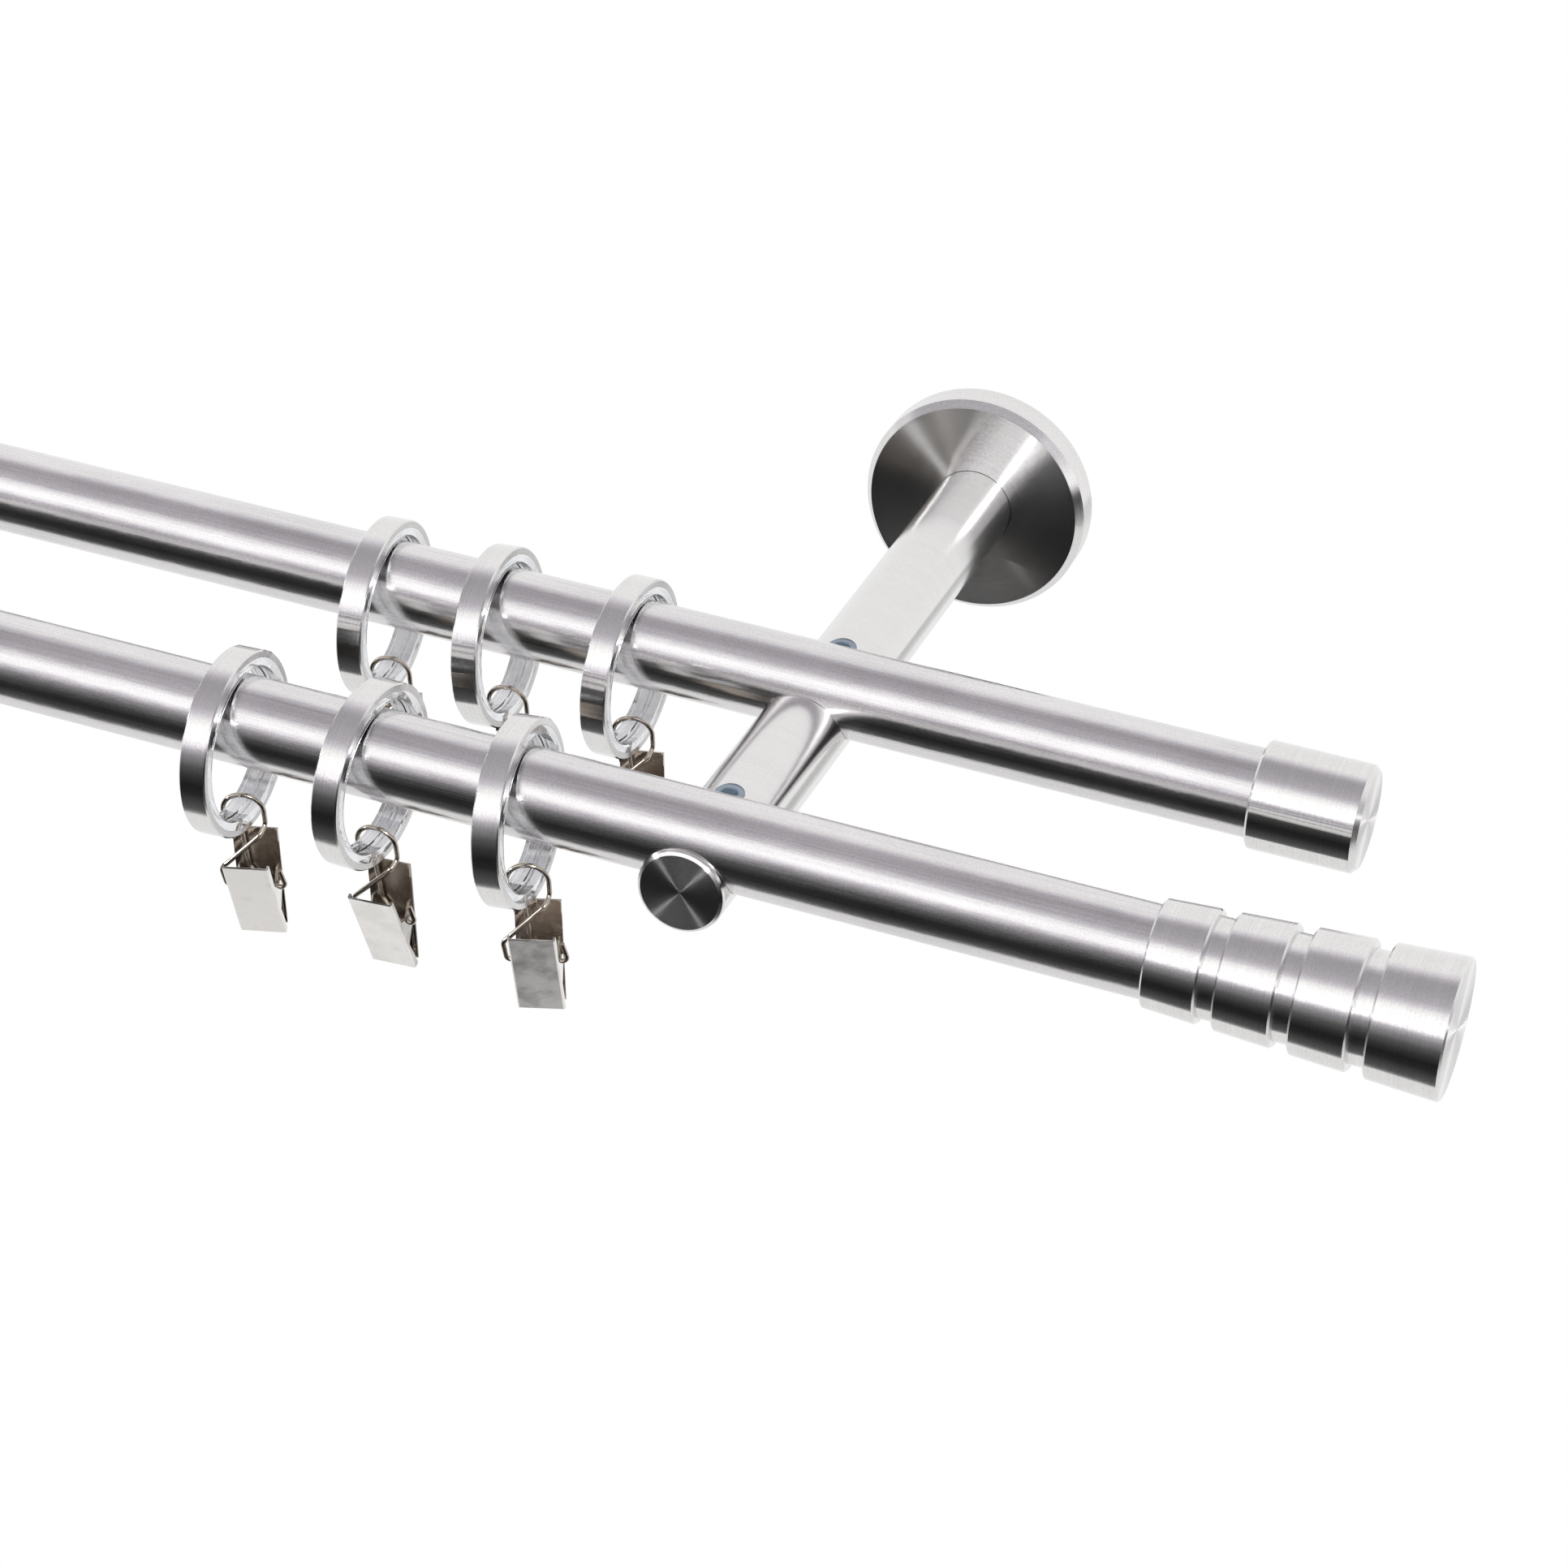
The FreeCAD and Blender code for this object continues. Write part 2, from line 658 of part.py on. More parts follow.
def make_ring(label, pole_out, across, roll, turn, lean):
    """A metal band with a clear liner, hanging on its pole. Returns where it stands."""
    half = size("ring_width") / 2
    inner = size("ring_radius") - size("ring_band")
    edge = size("ring_edge")
    band = new_body(label)
    revolve(band, f"{label}_band", [
        (inner, -half),
        (size("ring_radius") - edge, -half),
        (size("ring_radius"), edge - half),
        (size("ring_radius"), half - edge),
        (size("ring_radius") - edge, half),
        (inner, half),
    ])
    liner = new_body(f"{label}_liner")
    outer = inner - size("liner_gap")
    face = outer - size("liner_thickness")
    bead = face - size("liner_bead")
    bead_width = size("liner_bead_width")
    ridge = size("liner_bead_width") / 4
    revolve(liner, f"{label}_liner_strip", [
        (outer, -half),
        (outer, half),
        (bead, half),
        (bead, half - bead_width),
        (face, half - bead_width),
        (face, ridge),
        (bead, 0),
        (face, -ridge),
        (face, bead_width - half),
        (bead, bead_width - half),
        (bead, -half),
    ])
    lifted = half * abs(math.tan(math.radians(lean)))
    slack = bead - size("pole_radius") - size("ring_on_pole_gap")
    centre_out = pole_out - math.sin(math.radians(roll)) * slack
    centre_height = pole_height + lifted - math.cos(math.radians(roll)) * slack
    stance = Rotation(Vector(0, 0, 1), turn).multiply(Rotation(Vector(0, 1, 0), lean))
    centre = Vector(across, -float(centre_out), float(centre_height))
    for piece in (band, liner):
        piece.Placement = Placement(centre, stance.multiply(LAID))
        bind(piece, "Placement.Base.y", -centre_out)
        bind(piece, "Placement.Base.z", centre_height)
    return Placement(centre, stance)


def make_front_jaw(label):
    """The front jaw: a folded channel with two ears and a lip. Its Z axis runs along its plate."""
    jaw = new_body(label)
    skin = -size("front_jaw_offset")
    flange = skin + size("front_flange")
    ear = size("front_ear_radius")
    pad_across(jaw, f"{label}_channel", [
        (skin, -size("front_jaw_below")),
        (skin + size("front_lip"), -size("front_jaw_below")),
        (flange, -size("ear_height")),
        (0, -ear, (ear, 0, 0)),
        (0, ear),
        (flange, size("ear_height")),
        (flange, size("front_jaw_above")),
        (skin, size("front_jaw_above")),
    ], size("clip_width"))
    inside = skin + size("clip_sheet")
    pocket_across(jaw, f"{label}_inside", [
        (inside, size("clip_sheet") - size("front_jaw_below")),
        (ear + 1, size("clip_sheet") - size("front_jaw_below")),
        (ear + 1, size("front_jaw_above") + 1),
        (inside, size("front_jaw_above") + 1),
    ], size("clip_width") - 2 * size("clip_sheet"))
    bore(jaw, f"{label}_axle_hole", size("wire_radius") + size("axle_gap"),
         size("clip_width") + 2, (-size("clip_width") / 2 - 1, 0, 0), "+x")
    return jaw


def make_back_jaw(label):
    """The back jaw: a folded plate whose ears sit inside the front jaw's. Z runs along it."""
    jaw = new_body(label)
    sheet_width = size("clip_sheet")
    face = size("back_jaw_offset")
    skin = face + sheet_width
    flange = face - size("back_flange")
    ear = size("back_ear_radius")
    top = size("back_jaw_above")
    tab = top - size("back_tab")
    low = -size("back_jaw_below")
    pad_across(jaw, f"{label}_plate", [
        (face, low),
        (skin, low),
        (skin, top),
        (flange, top),
        (flange, tab),
        (face, tab - size("back_tab_slope")),
    ], size("back_jaw_width"))
    pocket_across(jaw, f"{label}_top_inside", [
        (-ear - 1, tab - 1),
        (face, tab - 1),
        (face, top + 1),
        (-ear - 1, top + 1),
    ], size("back_jaw_width") - 2 * sheet_width)
    inner_width = size("clip_width") - 2 * sheet_width - 2 * size("clip_side_gap")
    middle = face + 0.5 * sheet_width
    pad_across(jaw, f"{label}_ears", [
        (middle, low + 1),
        (middle, size("ear_height")),
        (flange, size("ear_height")),
        (0, ear, (-ear, 0, 0)),
        (0, -ear),
        (flange, -size("ear_height")),
        (flange, low + 1),
    ], inner_width)
    pocket_across(jaw, f"{label}_inside", [
        (-ear - 1, low - 1),
        (face, low - 1),
        (face, size("ear_height") + 1),
        (-ear - 1, size("ear_height") + 1),
    ], inner_width - 2 * sheet_width)
    bore(jaw, f"{label}_axle_hole", size("wire_radius") + size("axle_gap"),
         size("clip_width") + 2, (-size("clip_width") / 2 - 1, 0, 0), "+x")
    return jaw


def bent_wire(points, radii, wire):
    """A round wire of straight runs joined by tangent bends of the given radii."""
    runs = []
    start = points[0]
    for before, corner, after, radius in zip(points, points[1:], points[2:], radii):
        back = (before - corner).normalize()
        ahead = (after - corner).normalize()
        turn = math.pi - back.getAngle(ahead)
        reach = radius * math.tan(turn / 2)
        leave = corner + back * reach
        runs.append(Part.makeCylinder(wire, (leave - start).Length, start, leave - start))
        inward = (back + ahead).normalize()
        centre = corner + inward * (radius / math.cos(turn / 2))
        disc = Part.Face(Part.Wire([Part.Circle(leave, back, wire).toShape()]))
        runs.append(disc.revolve(centre, ahead.cross(back), math.degrees(turn)))
        start = corner + ahead * reach
    runs.append(Part.makeCylinder(wire, (points[-1] - start).Length, start, points[-1] - start))
    return runs[0].multiFuse(runs[1:])


def hanger_shape():
    """One bent wire: the end hook, the axle, the curl, the eye on the ring and the inner leg."""
    number = {name: float(size(name)) for name in SIZES}
    eye = number["eye_radius"]
    back = number["eye_set_back"]
    height = number["eye_height"]
    right = eye - number["eye_left"]
    left = -eye - number["eye_left"]
    wire = number["wire_radius"]
    lean = math.radians(number["back_tilt"])
    resting = (number["back_jaw_offset"] - wire - number["wire_to_plate"]) / math.cos(lean)
    foot = resting + number["inner_leg_foot"] * math.tan(lean)
    points = [
        Vector(number["hook_out"] - number["hook_lean"], number["hook_forward"], number["hook_height"]),
        Vector(number["hook_out"], 0, 0),
        Vector(-number["curl_out"], 0, 0),
        Vector(-number["curl_out"] - number["curl_lean"], -number["curl_forward"],
               number["curl_height"]),
        Vector(right - number["right_leg_inset"], number["right_leg_forward"],
               number["right_leg_foot"]),
        Vector(right, back, height - number["right_leg_drop"]),
        Vector(right, back, height + eye),
        Vector(left, back, height + eye),
        Vector(left, back, height - number["left_leg_drop"]),
        Vector(-number["inner_leg_top_out"], back, number["inner_leg_top"]),
        Vector(-number["inner_leg_foot_out"], foot, number["inner_leg_foot"]),
        Vector(-number["inner_tip_out"], foot - number["inner_tip_forward"],
               number["inner_tip_height"]),
    ]
    leg = number["leg_bend"]
    radii = [number["hook_bend"], number["curl_bend"], number["curl_top_bend"], leg, leg,
             EYE_BEND * eye, EYE_BEND * eye, leg, leg, leg]
    return bent_wire(points, radii, wire)


HANGER = hanger_shape()


def make_clip(label, ring_stand, stance):
    """A spring clip that hangs by its wire eye from a ring."""
    turn, lean, tip = stance
    way = Rotation(Vector(0, 0, 1), turn)
    way = way.multiply(Rotation(Vector(0, 1, 0), lean)).multiply(Rotation(Vector(1, 0, 0), tip))
    reach = float(size("ring_radius")) - float(size("ring_band")) - float(size("liner_gap"))
    reach = reach - float(size("liner_thickness")) - float(size("liner_bead"))
    reach = reach + float(size("eye_to_liner"))
    around = math.radians(EYE_ANGLE)
    eye_world = ring_stand.multVec(
        Vector(float(size("eye_shift")), reach * math.sin(around), -reach * math.cos(around)))
    eye_local = Vector(-float(size("eye_left")), float(size("eye_set_back")), float(size("eye_height")))
    axle = eye_world - way.multVec(eye_local)
    back_jaw = make_back_jaw(f"{label}_back_jaw")
    back_jaw.Placement = Placement(
        axle, way.multiply(Rotation(Vector(1, 0, 0), -float(size("back_tilt")))))
    front_jaw = make_front_jaw(f"{label}_front_jaw")
    tilt = Rotation(Vector(1, 0, 0), float(size("front_tilt")))
    front_jaw.Placement = Placement(axle, way.multiply(tilt))
    hanger = doc.addObject("Part::Feature", f"{label}_hanger")
    hanger.Label = f"{label}_hanger"
    hanger.Shape = HANGER
    hanger.Placement = Placement(axle, way)
    print(f"{label} axle {axle.x:.4f} {axle.y:.4f} {axle.z:.4f}",
          f"eye {eye_world.x:.4f} {eye_world.y:.4f} {eye_world.z:.4f}",
          "side", [round(value, 6) for value in way.multVec(Vector(1, 0, 0))],
          "back", [round(value, 6) for value in way.multVec(Vector(0, 1, 0))])


for rings, pole_out in ((FRONT_RINGS, front_pole_out), (REAR_RINGS, rear_pole_out)):
    for label, (across, roll, turn, lean) in rings.items():
        ring_stand = make_ring(label, pole_out, across, roll, turn, lean)
        make_clip(label.replace("ring", "clip"), ring_stand, CLIP_STANCES[label])

doc.recompute()
pieces = [item for item in doc.Objects
          if item.TypeId == "PartDesign::Body" or item.TypeId == "Part::Feature"]
for item in doc.Objects:
    if "Invalid" in item.State or "Error" in item.State:
        raise RuntimeError(f"{item.Label} failed to build: {item.State}")
for piece in pieces:
    if piece.Shape.isNull() or not piece.Shape.isValid() or not piece.Shape.Solids:
        raise RuntimeError(f"{piece.Label} has no valid solid")

os.makedirs("parts", exist_ok=True)
for piece in pieces:
    piece.Shape.exportStep(f"parts/{piece.Label}.step")
print(len(pieces), "pieces written")
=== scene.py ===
"""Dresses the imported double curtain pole: finishes, stage, light and the camera.

Lengths are in metres in the frame of the part: the wall is the plane y = 0, the room lies
towards -Y, the poles run along X and +Z is up.
"""

from __future__ import annotations

import logging
import math
from dataclasses import dataclass
from enum import Enum

import bpy
from mathutils import Matrix, Vector

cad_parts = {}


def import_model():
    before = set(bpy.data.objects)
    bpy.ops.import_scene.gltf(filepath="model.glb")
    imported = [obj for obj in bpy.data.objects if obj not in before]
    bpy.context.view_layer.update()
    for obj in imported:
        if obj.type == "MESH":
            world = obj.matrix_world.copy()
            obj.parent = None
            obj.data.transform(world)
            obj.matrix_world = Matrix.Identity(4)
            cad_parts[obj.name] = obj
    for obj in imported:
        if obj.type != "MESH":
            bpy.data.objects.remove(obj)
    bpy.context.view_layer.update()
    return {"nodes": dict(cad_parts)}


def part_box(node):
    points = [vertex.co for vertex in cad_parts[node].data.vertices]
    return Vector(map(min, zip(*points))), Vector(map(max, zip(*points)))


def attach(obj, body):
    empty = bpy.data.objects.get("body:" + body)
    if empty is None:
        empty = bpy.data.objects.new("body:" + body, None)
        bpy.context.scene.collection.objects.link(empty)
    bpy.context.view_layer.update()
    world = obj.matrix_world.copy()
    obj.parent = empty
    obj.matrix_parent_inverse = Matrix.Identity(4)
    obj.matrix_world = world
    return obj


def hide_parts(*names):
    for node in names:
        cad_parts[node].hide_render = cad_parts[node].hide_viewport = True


LOG = logging.getLogger("curtain_pole")
MM = 0.001
RING_KEYS = ("front_1", "front_2", "front_3", "rear_1", "rear_2", "rear_3")

# Most of a noise pattern lies between these two values.
PATTERN_LOW, PATTERN_HIGH = 0.3, 0.7
# A pattern goes from its dark to its pale colour between these two values.
TINT_LOW, TINT_HIGH = 0.4, 0.6
# A surface goes from a side to an end face as the axis's share of its normal passes these.
END_FACE_LOW, END_FACE_HIGH = 0.90, 0.97
# The part of a full turn that lays a gloss's stretch round the axis and not along it.
ROUND_THE_AXIS = 0.25

Colour = tuple[float, float, float]
Point = tuple[float, float, float]


class Way(Enum):
    """The axis a piece was drawn, turned or ground along."""

    ALONG_X = "X"
    ALONG_Y = "Y"
    ALONG_Z = "Z"

    def vector(self, along: float, across: float) -> Point:
        """One value along this axis and another along the other two."""
        return tuple(along if axis is self else across for axis in Way)


def even(value: float) -> Point:
    """The same value three times."""
    return (value, value, value)


def shade(colour: Colour, share: float) -> Colour:
    """A colour made darker or paler, and never brighter than white.

    Args:
        colour: The colour.
        share: The part of its light that is kept, above 1 where it gets paler.

    Returns:
        The new colour.
    """
    return tuple(min(1.0, value * share) for value in colour)


@dataclass(frozen=True)
class Palette:
    """The colours of the object's finishes, as linear RGB."""

    steel: Colour = (0.80, 0.785, 0.785)
    turned: Colour = (0.82, 0.81, 0.805)
    nickel: Colour = (0.92, 0.895, 0.87)
    # Painted shade: the back jaws' nickel, darkened and browned to stand in for the shade and
    # dark reflection behind the front jaws.
    shaded_nickel: Colour = (0.50, 0.445, 0.39)
    wire: Colour = (0.62, 0.56, 0.49)
    zinc: Colour = (0.58, 0.60, 0.62)
    black: Colour = (0.035, 0.035, 0.04)
    liner: Colour = (0.95, 0.957, 0.975)
    bush: Colour = (0.55, 0.68, 0.81)
    white: Colour = (1.0, 1.0, 1.0)


class Graph:
    """A small helper that writes the node graph of a material or of the world."""

    def __init__(self, owner: bpy.types.Material | bpy.types.World,
                 output: str = "ShaderNodeOutputMaterial") -> None:
        """Starts a graph that holds only its output.

        Args:
            owner: The material or the world.
            output: The type of its output node.
        """
        self.owner = owner
        self.owner.use_nodes = True
        self.nodes = self.owner.node_tree.nodes
        self.links = self.owner.node_tree.links
        self.nodes.clear()
        self.output = self.nodes.new(output)

    def add(self, kind: str, **settings: object) -> bpy.types.Node:
        """Adds a node.

        Args:
            kind: The node's type.
            settings: Properties of the node to set.

        Returns:
            The new node.
        """
        node = self.nodes.new(kind)
        for key, value in settings.items():
            setattr(node, key, value)
        return node

    def join(self, source: bpy.types.NodeSocket, target: bpy.types.NodeSocket) -> None:
        """Links two sockets."""
        self.links.new(source, target)

    def calc(self, operation: str, *values: bpy.types.NodeSocket | float) -> bpy.types.NodeSocket:
        """Adds a Math node.

        Args:
            operation: The operation's name.
            values: A socket or a number for each of its inputs.

        Returns:
            The result's socket.
        """
        node = self.add("ShaderNodeMath", operation=operation)
        for index, value in enumerate(values):
            if isinstance(value, bpy.types.NodeSocket):
                self.join(value, node.inputs[index])
            else:
                node.inputs[index].default_value = value
        return node.outputs[0]

    def total(self, *parts: tuple[bpy.types.NodeSocket, float]) -> bpy.types.NodeSocket:
        """Adds up patterns, each by its share.

        Args:
            parts: The patterns with their shares.

        Returns:
            The sum's socket.
        """
        shares = [self.calc("MULTIPLY", pattern, share) for pattern, share in parts]
        result = shares.pop()
        while shares:
            result = self.calc("ADD", shares.pop(), result)
        return result

    def mapped(self, socket: bpy.types.NodeSocket, start: float, stop: float, low: float = 0.0,
               high: float = 1.0, easing: str = "LINEAR") -> bpy.types.NodeSocket:
        """Maps one range of values to another and stops at its ends.

        Args:
            socket: The value.
            start: Where its range starts.
            stop: Where its range stops.
            low: The result at the start.
            high: The result at the stop.
            easing: The name of the way from one to the other.

        Returns:
            The result's socket.
        """
        node = self.add("ShaderNodeMapRange", interpolation_type=easing)
        node.inputs["From Min"].default_value = start
        node.inputs["From Max"].default_value = stop
        node.inputs["To Min"].default_value = low
        node.inputs["To Max"].default_value = high
        self.join(socket, node.inputs["Value"])
        return node.outputs["Result"]

    def mixed(self, factor: bpy.types.NodeSocket, first: bpy.types.NodeSocket,
              second: bpy.types.NodeSocket) -> bpy.types.NodeSocket:
        """Mixes two shaders.

        Args:
            factor: The second shader's share.
            first: The shader where the factor is 0.
            second: The shader where it is 1.

        Returns:
            The mix's socket.
        """
        node = self.add("ShaderNodeMixShader")
        for socket, target in zip((factor, first, second), node.inputs):
            self.join(socket, target)
        return node.outputs[0]

    def shader(self, colour: Colour, roughness: float, anisotropic: float = 0.0,
               metallic: float = 1.0) -> bpy.types.Node:
        """Adds the surface's shader and joins it to the output.

        Args:
            colour: Its colour.
            roughness: Its mean roughness.
            anisotropic: How strongly its marks stretch a highlight.
            metallic: 1 for a metal, 0 for a plastic.

        Returns:
            The shader node.
        """
        shader = self.add("ShaderNodeBsdfPrincipled")
        shader.inputs["Base Color"].default_value = (*colour, 1.0)
        shader.inputs["Metallic"].default_value = metallic
        shader.inputs["Roughness"].default_value = roughness
        shader.inputs["Anisotropic"].default_value = anisotropic
        self.join(shader.outputs[0], self.output.inputs["Surface"])
        return shader

    def spread(self, pattern: bpy.types.NodeSocket, low: float, high: float,
               target: bpy.types.NodeSocket) -> None:
        """Maps a pattern to a range of values of a shader's input.

        Args:
            pattern: The pattern.
            low: The value at the pattern's low end.
            high: The value at its high end.
            target: The input that takes it.
        """
        self.join(self.mapped(pattern, PATTERN_LOW, PATTERN_HIGH, low, high), target)

    def tint(self, pattern: bpy.types.NodeSocket, dark: Colour, pale: Colour,
             target: bpy.types.NodeSocket) -> None:
        """Colours a shader's input between two colours by a pattern.

        Args:
            pattern: The pattern.
            dark: The colour at the pattern's low end.
            pale: The colour at its high end.
            target: The input that takes it.
        """
        ramp = self.add("ShaderNodeValToRGB")
        ends = ((TINT_LOW, dark), (TINT_HIGH, pale))
        for element, (position, colour) in zip(ramp.color_ramp.elements, ends):
            element.position = position
            element.color = (*colour, 1.0)
        self.join(pattern, ramp.inputs[0])
        self.join(ramp.outputs[0], target)

    def relief(self, pattern: bpy.types.NodeSocket, shader: bpy.types.Node,
               strength: float, depth: float) -> None:
        """Raises a pattern as a bump on a shader.

        Args:
            pattern: The pattern.
            shader: The shader node.
            strength: The bump's strength.
            depth: The pattern's height in metres.
        """
        bump = self.add("ShaderNodeBump")
        bump.inputs["Strength"].default_value = strength
        bump.inputs["Distance"].default_value = depth
        self.join(pattern, bump.inputs["Height"])
        self.join(bump.outputs["Normal"], shader.inputs["Normal"])

    def noise(self, vector: bpy.types.NodeSocket, detail: float,
              roughness: float = 0.6) -> bpy.types.NodeSocket:
        """Adds a noise pattern.

        Args:
            vector: Where the pattern is read, already at its scale.
            detail: Its octaves.
            roughness: How strong the fine octaves are.

        Returns:
            The pattern's socket.
        """
        node = self.add("ShaderNodeTexNoise")
        node.inputs["Scale"].default_value = 1.0
        node.inputs["Detail"].default_value = detail
        node.inputs["Roughness"].default_value = roughness
        self.join(vector, node.inputs["Vector"])
        return node.outputs["Fac"]

    def placed(self, scale: Point, shift: Point = (0.0, 0.0, 0.0)) -> bpy.types.NodeSocket:
        """Object coordinates, shifted and scaled.

        Args:
            scale: The scale along each axis.
            shift: The shift before the scale, in metres.

        Returns:
            The vector's socket.
        """
        place = self.add("ShaderNodeTexCoord")
        move = self.add("ShaderNodeVectorMath", operation="ADD")
        move.inputs[1].default_value = shift
        self.join(place.outputs["Object"], move.inputs[0])
        size = self.add("ShaderNodeVectorMath", operation="MULTIPLY")
        size.inputs[1].default_value = scale
        self.join(move.outputs[0], size.inputs[0])
        return size.outputs[0]

    def around(self, way: Way, centre: Point, scale: float) -> bpy.types.NodeSocket:
        """A vector of length and radius about a piece's axis, for turning marks.

        Args:
            way: The piece's axis.
            centre: A point on the axis.
            scale: The marks' scale.

        Returns:
            The vector's socket.
        """
        back = tuple(-value for value in centre)
        length = self.add("ShaderNodeVectorMath", operation="DOT_PRODUCT")
        self.join(self.placed(even(1.0), back), length.inputs[0])
        length.inputs[1].default_value = way.vector(along=1.0, across=0.0)
        radius = self.add("ShaderNodeVectorMath", operation="LENGTH")
        self.join(self.placed(way.vector(along=0.0, across=1.0), back), radius.inputs[0])
        vector = self.add("ShaderNodeCombineXYZ")
        self.join(self.calc("MULTIPLY", length.outputs["Value"], scale), vector.inputs[0])
        self.join(self.calc("MULTIPLY", radius.outputs["Value"], scale), vector.inputs[1])
        return vector.outputs[0]

    def facing(self, way: Way) -> bpy.types.NodeSocket:
        """How far a surface is an end face across an axis.

        Args:
            way: The piece's axis.

        Returns:
            A socket that is 1 on end faces and 0 on surfaces along the axis.
        """
        place = self.add("ShaderNodeTexCoord")
        split = self.add("ShaderNodeSeparateXYZ")
        self.join(place.outputs["Normal"], split.inputs[0])
        flat = self.calc("ABSOLUTE", split.outputs[way.value])
        return self.mapped(flat, END_FACE_LOW, END_FACE_HIGH)

    def grain(self, shader: bpy.types.Node, way: Way, rotation: float = 0.0) -> None:
        """Gives a shader's marks a direction about an axis.

        Args:
            shader: The shader node.
            way: The axis.
            rotation: 0 where the gloss is stretched along the axis, or ROUND_THE_AXIS.
        """
        tangent = self.add("ShaderNodeTangent", direction_type="RADIAL", axis=way.value)
        self.join(tangent.outputs[0], shader.inputs["Tangent"])
        shader.inputs["Anisotropic Rotation"].default_value = rotation


@dataclass(frozen=True)
class BrushedTube:
    """Steel tube ground along its length: fine long scratches and a soft stretched gloss.

    Each scale holds a pattern's scale along the tube and across it, and each share says how
    much of that pattern goes into the colour and the roughness.
    """

    name: str
    way: Way
    colour: Colour
    roughness: float = 0.16
    smoother: float = 0.05
    rougher: float = 0.09
    darker: float = 0.86
    paler: float = 1.10
    anisotropic: float = 0.2
    scratch_scale: tuple[float, float] = (14.0, 2600.0)
    cloud_scale: tuple[float, float] = (40.0, 90.0)
    speckle_scale: tuple[float, float] = (2200.0, 3000.0)
    scratch_share: float = 0.4
    cloud_share: float = 0.25
    speckle_share: float = 0.35
    relief_strength: float = 0.25
    relief_depth: float = 0.02 * MM
    waviness: float = 30.0

    def material(self) -> bpy.types.Material:
        """Makes the finish.

        Returns:
            The material.
        """
        graph = Graph(bpy.data.materials.new(self.name))
        shader = graph.shader(self.colour, self.roughness, self.anisotropic)
        scratches = graph.noise(graph.placed(self.way.vector(*self.scratch_scale)),
                                detail=3.0, roughness=0.7)
        clouds = graph.noise(graph.placed(self.way.vector(*self.cloud_scale)), detail=3.0)
        speckle = graph.noise(graph.placed(self.way.vector(*self.speckle_scale)), detail=2.0)
        marks = graph.total((scratches, self.scratch_share), (clouds, self.cloud_share),
                            (speckle, self.speckle_share))
        graph.spread(marks, self.roughness - self.smoother, self.roughness + self.rougher,
                     shader.inputs["Roughness"])
        graph.tint(marks, shade(self.colour, self.darker), shade(self.colour, self.paler),
                   shader.inputs["Base Color"])
        fine = graph.total((scratches, 0.5), (speckle, 0.5))
        waves = graph.calc("MULTIPLY", clouds, self.waviness)
        graph.relief(graph.calc("ADD", fine, waves), shader, self.relief_strength,
                     self.relief_depth)
        graph.grain(shader, self.way)
        return graph.owner


@dataclass(frozen=True)
class TurnedSteel:
    """Steel turned on a lathe: fine rings about its axis that pull gloss into radial streaks.

    The marks and the broader bands run round the axis, the speckle is even, and each share
    says how much of that pattern goes into the colour, the roughness and the relief.
    """

    name: str
    way: Way
    centre: Point
    colour: Colour
    side_roughness: float
    face_roughness: float = 0.30
    roughness_swing: float = 0.10
    contrast: float = 0.08
    anisotropic: float = 1.0
    mark_scale: float = 3200.0
    marks_per_band: float = 9.0
    speckle_scale: float = 2600.0
    mark_share: float = 0.35
    band_share: float = 0.15
    speckle_share: float = 0.5
    relief_strength: float = 0.20
    relief_depth: float = 0.02 * MM

    def material(self) -> bpy.types.Material:
        """Makes the finish.

        Returns:
            The material.
        """
        graph = Graph(bpy.data.materials.new(self.name))
        shader = graph.shader(self.colour, self.side_roughness, self.anisotropic)
        marks = graph.noise(graph.around(self.way, self.centre, self.mark_scale),
                            detail=3.0, roughness=0.7)
        band_scale = self.mark_scale / self.marks_per_band
        bands = graph.noise(graph.around(self.way, self.centre, band_scale), detail=2.0)
        speckle = graph.noise(graph.placed(even(self.speckle_scale)), detail=2.0)
        pattern = graph.total((marks, self.mark_share), (bands, self.band_share),
                              (speckle, self.speckle_share))
        step = graph.calc("MULTIPLY", graph.facing(self.way),
                          self.face_roughness - self.side_roughness)
        level = graph.calc("ADD", step, self.side_roughness - self.roughness_swing / 2)
        swing = graph.calc("MULTIPLY", pattern, self.roughness_swing)
        graph.join(graph.calc("ADD", level, swing), shader.inputs["Roughness"])
        graph.tint(pattern, shade(self.colour, 1.0 - self.contrast),
                   shade(self.colour, 1.0 + self.contrast), shader.inputs["Base Color"])
        graph.relief(pattern, shader, self.relief_strength, self.relief_depth)
        graph.grain(shader, self.way, ROUND_THE_AXIS)
        return graph.owner


@dataclass(frozen=True)
class PlatedSheet:
    """Bright nickel plating over stamped sheet or wire, with faint orange peel and wear."""

    name: str
    colour: Colour
    roughness: float
    smoother: float = 0.05
    rougher: float = 0.12
    darker: float = 0.86
    peel_scale: float = 900.0
    stain_scale: float = 170.0
    relief_strength: float = 0.12
    relief_depth: float = 0.04 * MM

    def material(self) -> bpy.types.Material:
        """Makes the finish.

        Returns:
            The material.
        """
        graph = Graph(bpy.data.materials.new(self.name))
        shader = graph.shader(self.colour, self.roughness)
        peel = graph.noise(graph.placed(even(self.peel_scale)), detail=3.0)
        stains = graph.noise(graph.placed(even(self.stain_scale)), detail=3.0)
        graph.spread(stains, self.roughness - self.smoother, self.roughness + self.rougher,
                     shader.inputs["Roughness"])
        graph.tint(stains, shade(self.colour, self.darker), self.colour,
                   shader.inputs["Base Color"])
        graph.relief(peel, shader, self.relief_strength, self.relief_depth)
        return graph.owner


